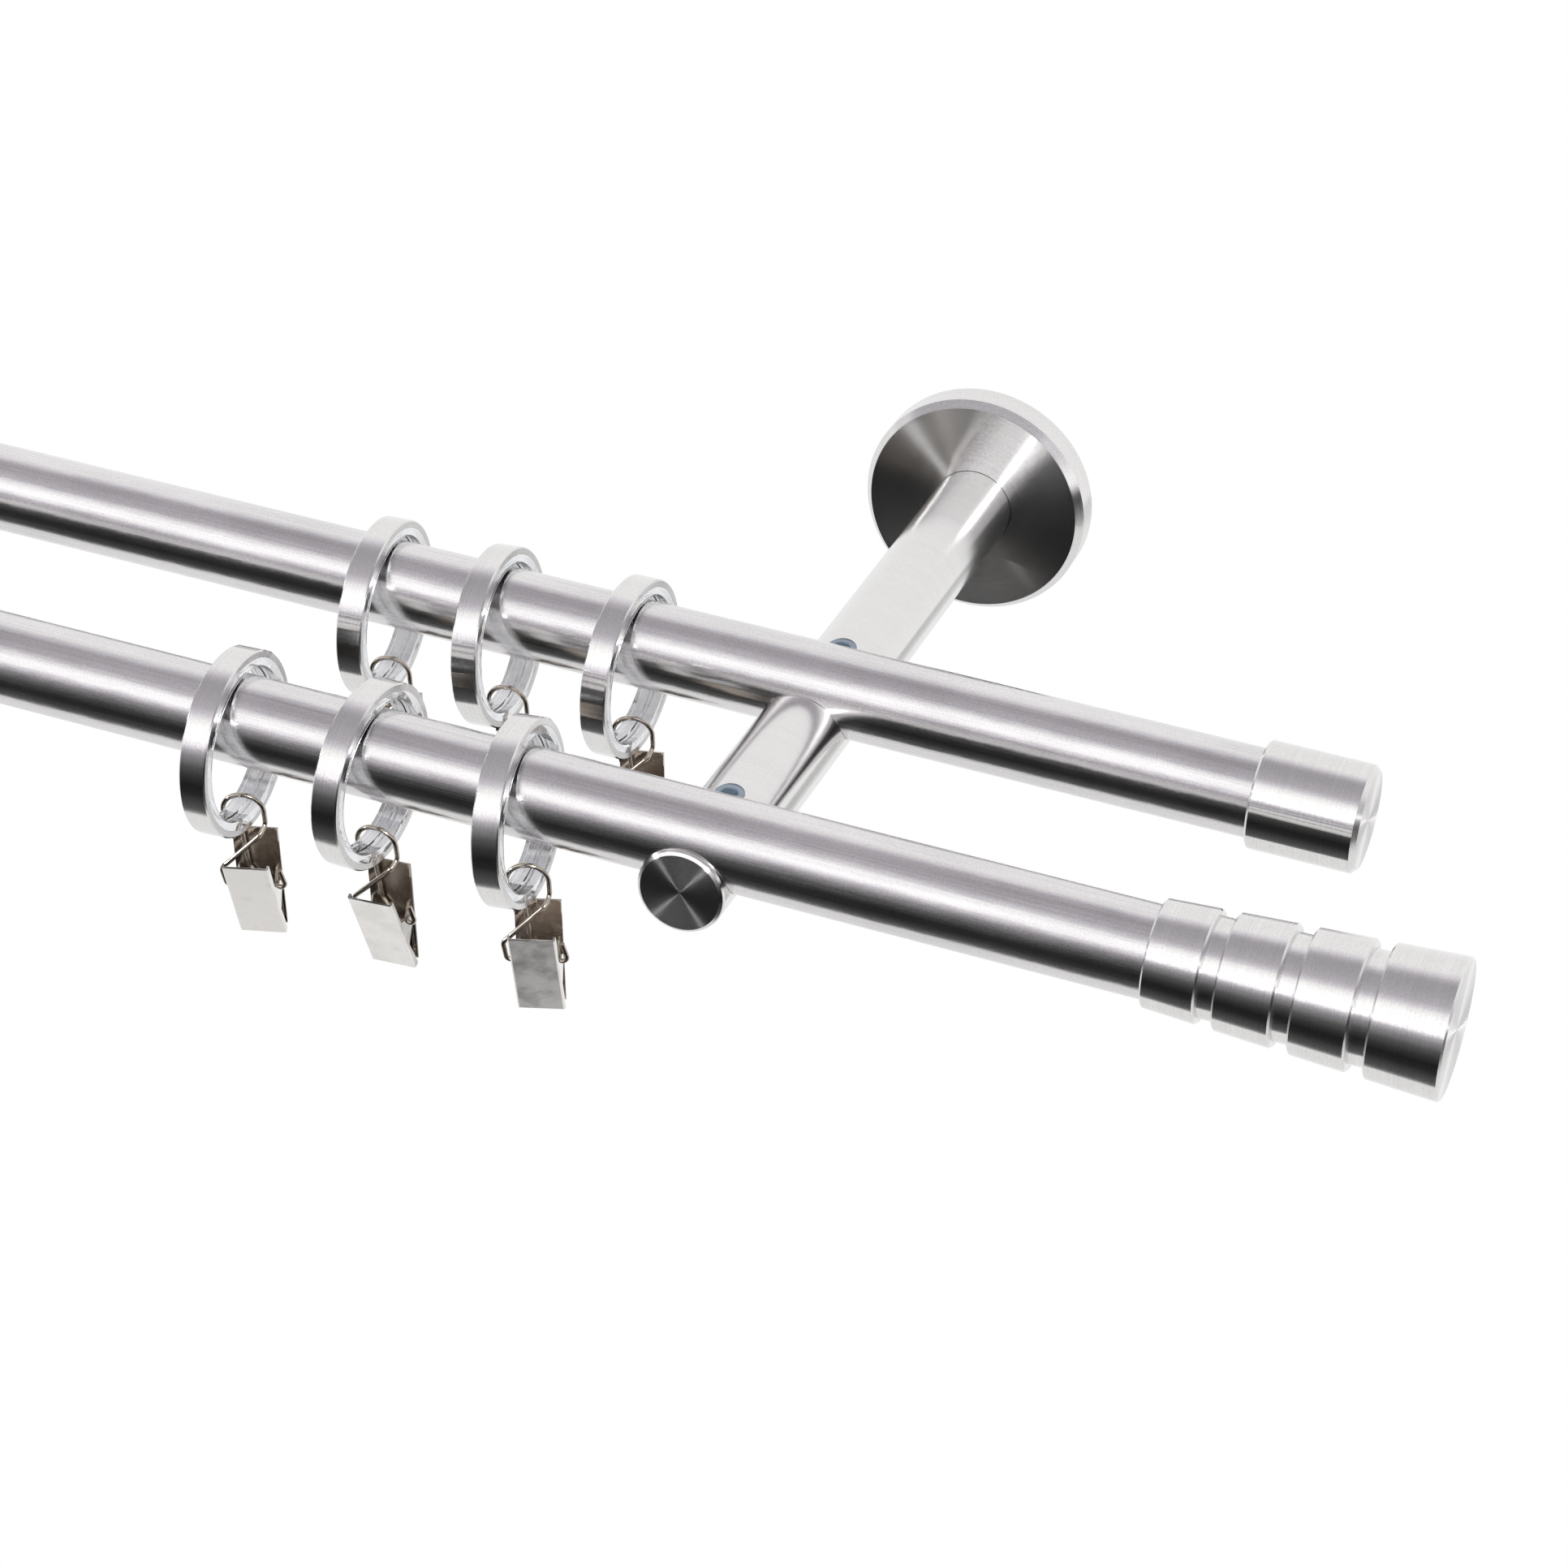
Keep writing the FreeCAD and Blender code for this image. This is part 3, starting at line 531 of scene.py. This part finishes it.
@dataclass(frozen=True)
class DarkMetal:
    """Zinc or blackened steel of the hidden fastenings, with a matt mottled coat."""

    name: str
    colour: Colour
    roughness: float = 0.38
    smoother: float = 0.08
    rougher: float = 0.12
    darker: float = 0.7
    mottle_scale: float = 350.0
    relief_strength: float = 0.1
    relief_depth: float = 0.03 * MM

    def material(self) -> bpy.types.Material:
        """Makes the finish.

        Returns:
            The material.
        """
        graph = Graph(bpy.data.materials.new(self.name))
        shader = graph.shader(self.colour, self.roughness)
        mottle = graph.noise(graph.placed(even(self.mottle_scale)), detail=5.0)
        graph.spread(mottle, self.roughness - self.smoother, self.roughness + self.rougher,
                     shader.inputs["Roughness"])
        graph.tint(mottle, shade(self.colour, self.darker), self.colour,
                   shader.inputs["Base Color"])
        graph.relief(mottle, shader, self.relief_strength, self.relief_depth)
        return graph.owner


@dataclass(frozen=True)
class ClearPlastic:
    """Clear moulded plastic with flow marks and a light tint."""

    name: str
    colour: Colour
    roughness: float = 0.02
    rougher: float = 0.04
    clear: float = 1.0
    refraction: float = 1.49
    darker: float = 0.90
    flow_scale: Point = (230.0, 150.0, 150.0)
    relief_strength: float = 0.5
    relief_depth: float = 0.2 * MM

    def material(self) -> bpy.types.Material:
        """Makes the finish.

        Returns:
            The material.
        """
        graph = Graph(bpy.data.materials.new(self.name))
        shader = graph.shader(self.colour, self.roughness, metallic=0.0)
        shader.inputs["IOR"].default_value = self.refraction
        shader.inputs["Transmission Weight"].default_value = self.clear
        flow = graph.noise(graph.placed(self.flow_scale), detail=2.0)
        graph.spread(flow, self.roughness, self.roughness + self.rougher,
                     shader.inputs["Roughness"])
        graph.tint(flow, shade(self.colour, self.darker), self.colour,
                   shader.inputs["Base Color"])
        graph.relief(flow, shader, self.relief_strength, self.relief_depth)
        return graph.owner


@dataclass
class Bracket:
    """The wall plate, the rosette, the arm and the two poles with their end pieces."""

    palette: Palette
    nodes: dict[str, bpy.types.Object]
    pole_height: float = 7.5 * MM
    rear_out: float = -120.0 * MM
    front_out: float = -190.0 * MM

    def dress(self) -> list[bpy.types.Object]:
        """Gives every piece of the bracket its finish.

        Returns:
            The pieces.
        """
        steel, turned = self.palette.steel, self.palette.turned
        arm = (0.0, 0.0, 0.0)
        rear = (0.0, self.rear_out, self.pole_height)
        front = (0.0, self.front_out, self.pole_height)
        bush = {"roughness": 0.08, "clear": 0.6}
        finishes = {
            "rear_pole": BrushedTube("brushed_rear_pole", Way.ALONG_X, steel),
            "front_pole": BrushedTube("brushed_front_pole", Way.ALONG_X, steel),
            "arm_bar": TurnedSteel("turned_arm", Way.ALONG_Y, arm, turned,
                                   side_roughness=0.11, face_roughness=0.22, contrast=0.04,
                                   relief_depth=0.006 * MM),
            "rosette": TurnedSteel("turned_rosette", Way.ALONG_Y, arm, turned,
                                   side_roughness=0.14, face_roughness=0.24),
            "rear_cap": TurnedSteel("turned_cap", Way.ALONG_X, rear, turned,
                                    side_roughness=0.15),
            "front_finial": TurnedSteel("turned_finial", Way.ALONG_X, front, turned,
                                        side_roughness=0.15),
            "wall_plate": DarkMetal("zinc_plate", self.palette.zinc),
            "arm_stud": DarkMetal("zinc_stud", self.palette.zinc),
            "rear_bush": ClearPlastic("rear_clear_bush", self.palette.bush, **bush),
            "front_bush": ClearPlastic("front_clear_bush", self.palette.bush, **bush),
        }
        for screw in ("rosette_screw", "rear_saddle_screw", "front_saddle_screw", "cap_screw",
                      "finial_screw"):
            finishes[screw] = DarkMetal(f"black_{screw}", self.palette.black)
        return [coat(self.nodes[name], finish.material()) for name, finish in finishes.items()]


@dataclass
class SheetJaw:
    """A clip jaw folded from sheet, with the soft outer bends and broken edges of the real one.

    The angles are in degrees.
    """

    node: bpy.types.Object
    body: str
    finish: bpy.types.Material
    fold_radius: float = 0.0
    fold_segments: int = 4
    fold_angle: float = 60.0
    shortest_fold: float = 6.0 * MM
    smallest_side: float = 9.0 * MM * MM
    edge_radius: float = 0.08 * MM
    edge_segments: int = 2
    edge_angle: float = 45.0
    smooth_angle: float = 35.0
    merge_distance: float = 0.001 * MM
    flat_angle: float = 0.5

    def build(self) -> bpy.types.Object:
        """Builds the jaw from a merged copy of its CAD node and puts it in the node's place.

        Returns:
            The jaw's object.
        """
        piece = bpy.data.objects.new(f"{self.node.name}_folded", self.node.data.copy())
        bpy.context.scene.collection.objects.link(piece)
        self.join_faces(piece)
        if self.fold_radius > 0.0:
            self.round_folds(piece)
        self.break_edges(piece)
        coat(piece, self.finish)
        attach(piece, self.body)
        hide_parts(self.node.name)
        return piece

    def join_faces(self, piece: bpy.types.Object) -> None:
        """Merges the copy's doubled corners and joins the flat faces of each side.

        Args:
            piece: The jaw.
        """
        bpy.ops.object.select_all(action="DESELECT")
        piece.select_set(True)
        bpy.context.view_layer.objects.active = piece
        bpy.ops.object.mode_set(mode="EDIT")
        bpy.ops.mesh.select_mode(type="FACE")
        bpy.ops.mesh.select_all(action="SELECT")
        bpy.ops.mesh.remove_doubles(threshold=self.merge_distance)
        bpy.ops.mesh.dissolve_limited(angle_limit=math.radians(self.flat_angle))
        bpy.ops.mesh.select_all(action="DESELECT")
        bpy.ops.object.mode_set(mode="OBJECT")
        bpy.ops.mesh.customdata_custom_splitnormals_clear()

    def folds(self, mesh: bpy.types.Mesh) -> list[int]:
        """Finds the outer edges along which the sheet was folded.

        Args:
            mesh: The jaw's mesh.

        Returns:
            The numbers of the edges between two broad outer sides.
        """
        sides: dict[tuple[int, int], list[bpy.types.MeshPolygon]] = {}
        for polygon in mesh.polygons:
            for key in polygon.edge_keys:
                sides.setdefault(key, []).append(polygon)
        found = []
        for edge in mesh.edges:
            start, stop = (mesh.vertices[index].co for index in edge.vertices)
            pair = sides.get(edge.key, [])
            if (stop - start).length < self.shortest_fold or len(pair) != 2:
                continue
            if min(polygon.area for polygon in pair) < self.smallest_side:
                continue
            first, second = pair
            sharp = first.normal.angle(second.normal) > math.radians(self.fold_angle)
            bulge = (second.center - first.center).dot(first.normal)
            if sharp and bulge < 0.0:
                found.append(edge.index)
        return found

    def round_folds(self, piece: bpy.types.Object) -> None:
        """Rounds the outer side of each fold.

        Args:
            piece: The jaw.
        """
        found = self.folds(piece.data)
        bpy.ops.object.mode_set(mode="EDIT")
        bpy.ops.mesh.select_mode(type="EDGE")
        bpy.ops.mesh.select_all(action="DESELECT")
        bpy.ops.object.mode_set(mode="OBJECT")
        for index in found:
            piece.data.edges[index].select = True
        bpy.ops.object.mode_set(mode="EDIT")
        bpy.ops.mesh.bevel(offset=self.fold_radius, segments=self.fold_segments,
                           affect="EDGES", clamp_overlap=True)
        bpy.ops.mesh.select_all(action="DESELECT")
        bpy.ops.object.mode_set(mode="OBJECT")

    def break_edges(self, piece: bpy.types.Object) -> None:
        """Breaks the cut edges of the sheet, smooths the bends and keeps the broad sides flat.

        Args:
            piece: The jaw.
        """
        bevel = piece.modifiers.new("broken_edges", "BEVEL")
        bevel.width = self.edge_radius
        bevel.segments = self.edge_segments
        bevel.limit_method = "ANGLE"
        bevel.angle_limit = math.radians(self.edge_angle)
        bpy.ops.object.modifier_apply(modifier=bevel.name)
        bpy.ops.object.shade_smooth_by_angle(angle=math.radians(self.smooth_angle))
        flat = piece.modifiers.new("flat_sides", "WEIGHTED_NORMAL")
        flat.keep_sharp = True
        bpy.ops.object.modifier_apply(modifier=flat.name)


@dataclass
class RingAndClip:
    """One lined ring and the spring clip that hangs from it."""

    key: str
    nodes: dict[str, bpy.types.Object]
    band: bpy.types.Material
    liner: bpy.types.Material
    bright: bpy.types.Material
    # The back jaws' nickel, with painted shade in its colour.
    shaded: bpy.types.Material
    wire: bpy.types.Material
    fold_radius: float = 0.5 * MM

    def dress(self) -> list[bpy.types.Object]:
        """Gives the ring, its liner and the clip their finishes, and the jaws their bends.

        Returns:
            The pieces.
        """
        ring, clip = f"ring_{self.key}", f"clip_{self.key}"
        # The back jaw takes the nickel with painted shade in its colour.
        back = SheetJaw(self.nodes[f"{clip}_back_jaw"], clip, self.shaded)
        front = SheetJaw(self.nodes[f"{clip}_front_jaw"], f"jaw_{self.key}", self.bright,
                         self.fold_radius)
        return [
            coat(self.nodes[ring], self.band),
            coat(self.nodes[f"{ring}_liner"], self.liner),
            coat(self.nodes[f"{clip}_hanger"], self.wire),
            back.build(),
            front.build(),
        ]


@dataclass(frozen=True)
class Card:
    """A round patch of the studio that only gloss shows: a softbox, or a black flag below 0.

    The spread is its half-angle in degrees, and its edge fades by a share of that either way.
    """

    towards: Point
    spread: float
    level: float
    fade: float = 0.3

    def add_to(self, graph: Graph, direction: bpy.types.NodeSocket,
               under: bpy.types.NodeSocket) -> bpy.types.NodeSocket:
        """Adds the patch to the studio's colour.

        Args:
            graph: The world's graph.
            direction: The direction looked along.
            under: The colour without the patch.

        Returns:
            The socket of the colour with the patch.
        """
        aim = graph.add("ShaderNodeVectorMath", operation="DOT_PRODUCT")
        aim.inputs[1].default_value = Vector(self.towards).normalized()
        graph.join(direction, aim.inputs[0])
        outer = math.cos(math.radians(self.spread * (1.0 + self.fade)))
        inner = math.cos(math.radians(self.spread * (1.0 - self.fade)))
        patch = graph.mapped(aim.outputs["Value"], outer, inner, 0.0, self.level, "SMOOTHSTEP")
        both = graph.add("ShaderNodeVectorMath", operation="ADD")
        graph.join(under, both.inputs[0])
        graph.join(patch, both.inputs[1])
        return both.outputs[0]


@dataclass(frozen=True)
class Lamp:
    """A soft square lamp that faces the object and that gloss doesn't show."""

    name: str
    place: Point
    side: float
    watts: float
    aim: Point = (0.0, -0.15, 0.0)

    def hang(self) -> None:
        """Hangs the lamp and turns it to the object."""
        light = bpy.data.lights.new(self.name, "AREA")
        light.size = self.side
        light.energy = self.watts
        lamp = bpy.data.objects.new(self.name, light)
        lamp.visible_glossy = False
        bpy.context.scene.collection.objects.link(lamp)
        lamp.location = self.place
        aim = Vector(self.aim) - lamp.location
        lamp.rotation_euler = aim.to_track_quat("-Z", "Y").to_euler()


@dataclass(frozen=True)
class Stage:
    """The white table under the object, the white surround and the lamps.

    The sky is the studio's brightness by the angle round the poles, in degrees: -180 and 180
    are the room's horizon, -90 is straight down, 0 the wall side's horizon and 90 straight up.
    """

    palette: Palette
    table_drop: float = 0.9
    table_front: float = -0.43
    table_back: float = 0.45
    table_half_width: float = 2.0
    table_paint: float = 0.86
    table_sheen: float = 0.85
    white_through: float = 0.4
    sky: tuple[tuple[float, float], ...] = (
        (-180, 0.22), (-172, 0.10), (-160, 0.04), (-148, 0.015), (-136, 0.022), (-124, 0.06),
        (-112, 0.10), (-107, 0.22), (-102, 0.85), (-88, 0.87), (-64, 0.88), (-40, 0.93),
        (-20, 0.95), (20, 0.92), (44, 0.94), (56, 0.93), (64, 0.75), (72, 0.50),
        (80, 0.40), (92, 0.41), (104, 0.45), (116, 0.52), (124, 0.72), (130, 1.0),
        (140, 1.25), (154, 1.3), (160, 0.90), (168, 0.50), (176, 0.27), (180, 0.22),
    )
    cool_tone: Colour = (1.0, 0.965, 1.03)
    cool_bands: tuple[tuple[float, float], ...] = ((60, 124), (160, 180))
    cards: tuple[Card, ...] = (
        Card((-0.82, -0.55, 0.13), spread=3.4, level=80.0),
        Card((0.37, -0.87, 0.30), spread=3.4, level=80.0),
        Card((0.45, 0.78, -0.43), spread=8.0, level=-0.4),
    )
    lamps: tuple[Lamp, ...] = (
        Lamp("key_lamp", (0.9, -1.3, 1.3), side=0.9, watts=9.0),
        Lamp("fill_lamp", (-1.1, -0.7, 1.2), side=1.0, watts=6.0),
    )

    def glow(self, graph: Graph, kind: str, strength: float) -> bpy.types.NodeSocket:
        """Adds an even white light.

        Args:
            graph: The graph that takes it.
            kind: The type of its node, an emission or the world's background.
            strength: Its strength, where 1 is white.

        Returns:
            The light's socket.
        """
        node = graph.add(kind)
        node.inputs["Color"].default_value = (*self.palette.white, 1.0)
        node.inputs["Strength"].default_value = strength
        return node.outputs[0]

    def white(self, name: str) -> bpy.types.Material:
        """A white surface that the camera and gloss see as plain white.

        Args:
            name: The material's name.

        Returns:
            The material.
        """
        graph = Graph(bpy.data.materials.new(name))
        paint = graph.add("ShaderNodeBsdfDiffuse")
        paint.inputs["Color"].default_value = (*even(self.table_paint), 1.0)
        plain = self.glow(graph, "ShaderNodeEmission", 1.0)
        sheen = self.glow(graph, "ShaderNodeEmission", self.table_sheen)
        path = graph.add("ShaderNodeLightPath")
        either = graph.calc("MAXIMUM", path.outputs["Is Glossy Ray"],
                            path.outputs["Is Transmission Ray"])
        gloss = graph.mixed(either, paint.outputs[0], sheen)
        seen = graph.mixed(path.outputs["Is Camera Ray"], gloss, plain)
        graph.join(seen, graph.output.inputs["Surface"])
        return graph.owner

    def table(self) -> None:
        """Builds the white table."""
        bpy.ops.object.select_all(action="DESELECT")
        depth = self.table_back - self.table_front
        middle = (self.table_back + self.table_front) / 2
        bpy.ops.mesh.primitive_plane_add(size=1.0, location=(0.0, middle, -self.table_drop))
        plane = bpy.context.object
        plane.name = "white_table"
        plane.scale = (self.table_half_width * 2, depth, 1.0)
        bpy.ops.object.transform_apply(location=True, rotation=True, scale=True)
        coat(plane, self.white("table_white"))

    def surround(self) -> None:
        """Sets the world: white to the camera, a striped studio with its cards to gloss."""
        world = bpy.data.worlds.new("studio")
        bpy.context.scene.world = world
        graph = Graph(world, "ShaderNodeOutputWorld")
        direction = graph.add("ShaderNodeTexCoord").outputs["Generated"]
        split = graph.add("ShaderNodeSeparateXYZ")
        graph.join(direction, split.inputs[0])
        angle = graph.calc("ARCTAN2", split.outputs["Z"], split.outputs["Y"])
        ramp = graph.add("ShaderNodeValToRGB")
        graph.join(graph.mapped(angle, -math.pi, math.pi), ramp.inputs[0])
        self.paint_sky(ramp.color_ramp)
        level = ramp.outputs[0]
        for card in self.cards:
            level = card.add_to(graph, direction, level)
        studio = graph.add("ShaderNodeBackground")
        graph.join(level, studio.inputs["Color"])
        plain = self.glow(graph, "ShaderNodeBackground", 1.0)
        path = graph.add("ShaderNodeLightPath")
        clear = graph.calc("MULTIPLY_ADD", path.outputs["Is Transmission Ray"],
                           self.white_through, path.outputs["Is Camera Ray"])
        mix = graph.mixed(clear, studio.outputs[0], plain)
        graph.join(mix, graph.output.inputs["Surface"])

    def paint_sky(self, ramp: bpy.types.ColorRamp) -> None:
        """Paints the studio round the poles, by the angle about them.

        Args:
            ramp: The ramp whose 0 and 1 are the sky's first and last angle.
        """
        while len(ramp.elements) > 1:
            ramp.elements.remove(ramp.elements[-1])
        ramp.elements[0].position = 0.0
        for degrees, _ in self.sky[1:]:
            ramp.elements.new((degrees + 180) / 360)
        for element, (degrees, level) in zip(ramp.elements, self.sky):
            cool = any(first <= degrees <= last for first, last in self.cool_bands)
            tone = self.cool_tone if cool else self.palette.white
            element.color = (level * tone[0], level * tone[1], level * tone[2], 1.0)

    def build(self) -> None:
        """Sets the table, the surround and the lamps."""
        self.table()
        self.surround()
        for lamp in self.lamps:
            lamp.hang()


@dataclass(frozen=True)
class PhotoCamera:
    """The camera of the photograph, fitted to the part's sizes."""

    lens: float = 97.363
    sensor_width: float = 36.0
    nearest: float = 50.0 * MM
    place: Point = (253.667 * MM, -897.893 * MM, 480.310 * MM)
    right: Point = (0.933733, 0.352351, 0.063177)
    down: Point = (0.234627, -0.469103, -0.851406)
    forward: Point = (-0.270357, 0.809809, -0.520688)

    def build(self) -> None:
        """Adds the camera and makes it the scene's."""
        data = bpy.data.cameras.new("photo_camera")
        data.lens = self.lens
        data.sensor_width = self.sensor_width
        data.sensor_fit = "HORIZONTAL"
        data.clip_start = self.nearest
        camera = bpy.data.objects.new("photo_camera", data)
        bpy.context.scene.collection.objects.link(camera)
        axes = (Vector(self.right), -Vector(self.down), -Vector(self.forward))
        turn = Matrix(axes).transposed()
        camera.matrix_world = Matrix.Translation(Vector(self.place)) @ turn.to_4x4()
        bpy.context.scene.camera = camera


def coat(piece: bpy.types.Object, material: bpy.types.Material) -> bpy.types.Object:
    """Covers a piece with one material.

    Args:
        piece: The piece.
        material: Its material.

    Returns:
        The piece.
    """
    piece.data.materials.clear()
    piece.data.materials.append(material)
    return piece


def ring_finish(name: str, box: tuple[Vector, Vector], palette: Palette) -> bpy.types.Material:
    """The finish of one ring's band, ground round its own axis.

    Args:
        name: The material's name.
        box: The band's lowest and highest corners.
        palette: The colours.

    Returns:
        The material.
    """
    centre = tuple((box[0] + box[1]) / 2)
    return TurnedSteel(name, Way.ALONG_X, centre, palette.turned,
                       side_roughness=0.12, face_roughness=0.2).material()


def main() -> None:
    """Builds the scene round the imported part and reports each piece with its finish."""
    logging.basicConfig(level=logging.INFO, format="%(name)s: %(message)s")
    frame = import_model()
    nodes = frame["nodes"]
    palette = Palette()
    PhotoCamera().build()
    bpy.context.scene.view_settings.view_transform = "Standard"
    Stage(palette).build()
    pieces = Bracket(palette, nodes).dress()
    liner = ClearPlastic("clear_liner", palette.liner).material()
    bright = PlatedSheet("bright_nickel", palette.nickel, roughness=0.13).material()
    # The back jaws' nickel is darker than the front jaws' as painted shade.
    shaded = PlatedSheet("shaded_nickel", palette.shaded_nickel, roughness=0.20).material()
    wire = PlatedSheet("nickel_wire", palette.wire, roughness=0.14).material()
    for key in RING_KEYS:
        band = ring_finish(f"polished_ring_{key}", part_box(f"ring_{key}"), palette)
        pieces += RingAndClip(key, nodes, band, liner, bright, shaded, wire).dress()
    for piece in pieces:
        LOG.info("%s: %s", piece.name, piece.data.materials[0].name)
    bpy.context.view_layer.update()


if __name__ == "__main__":
    main()
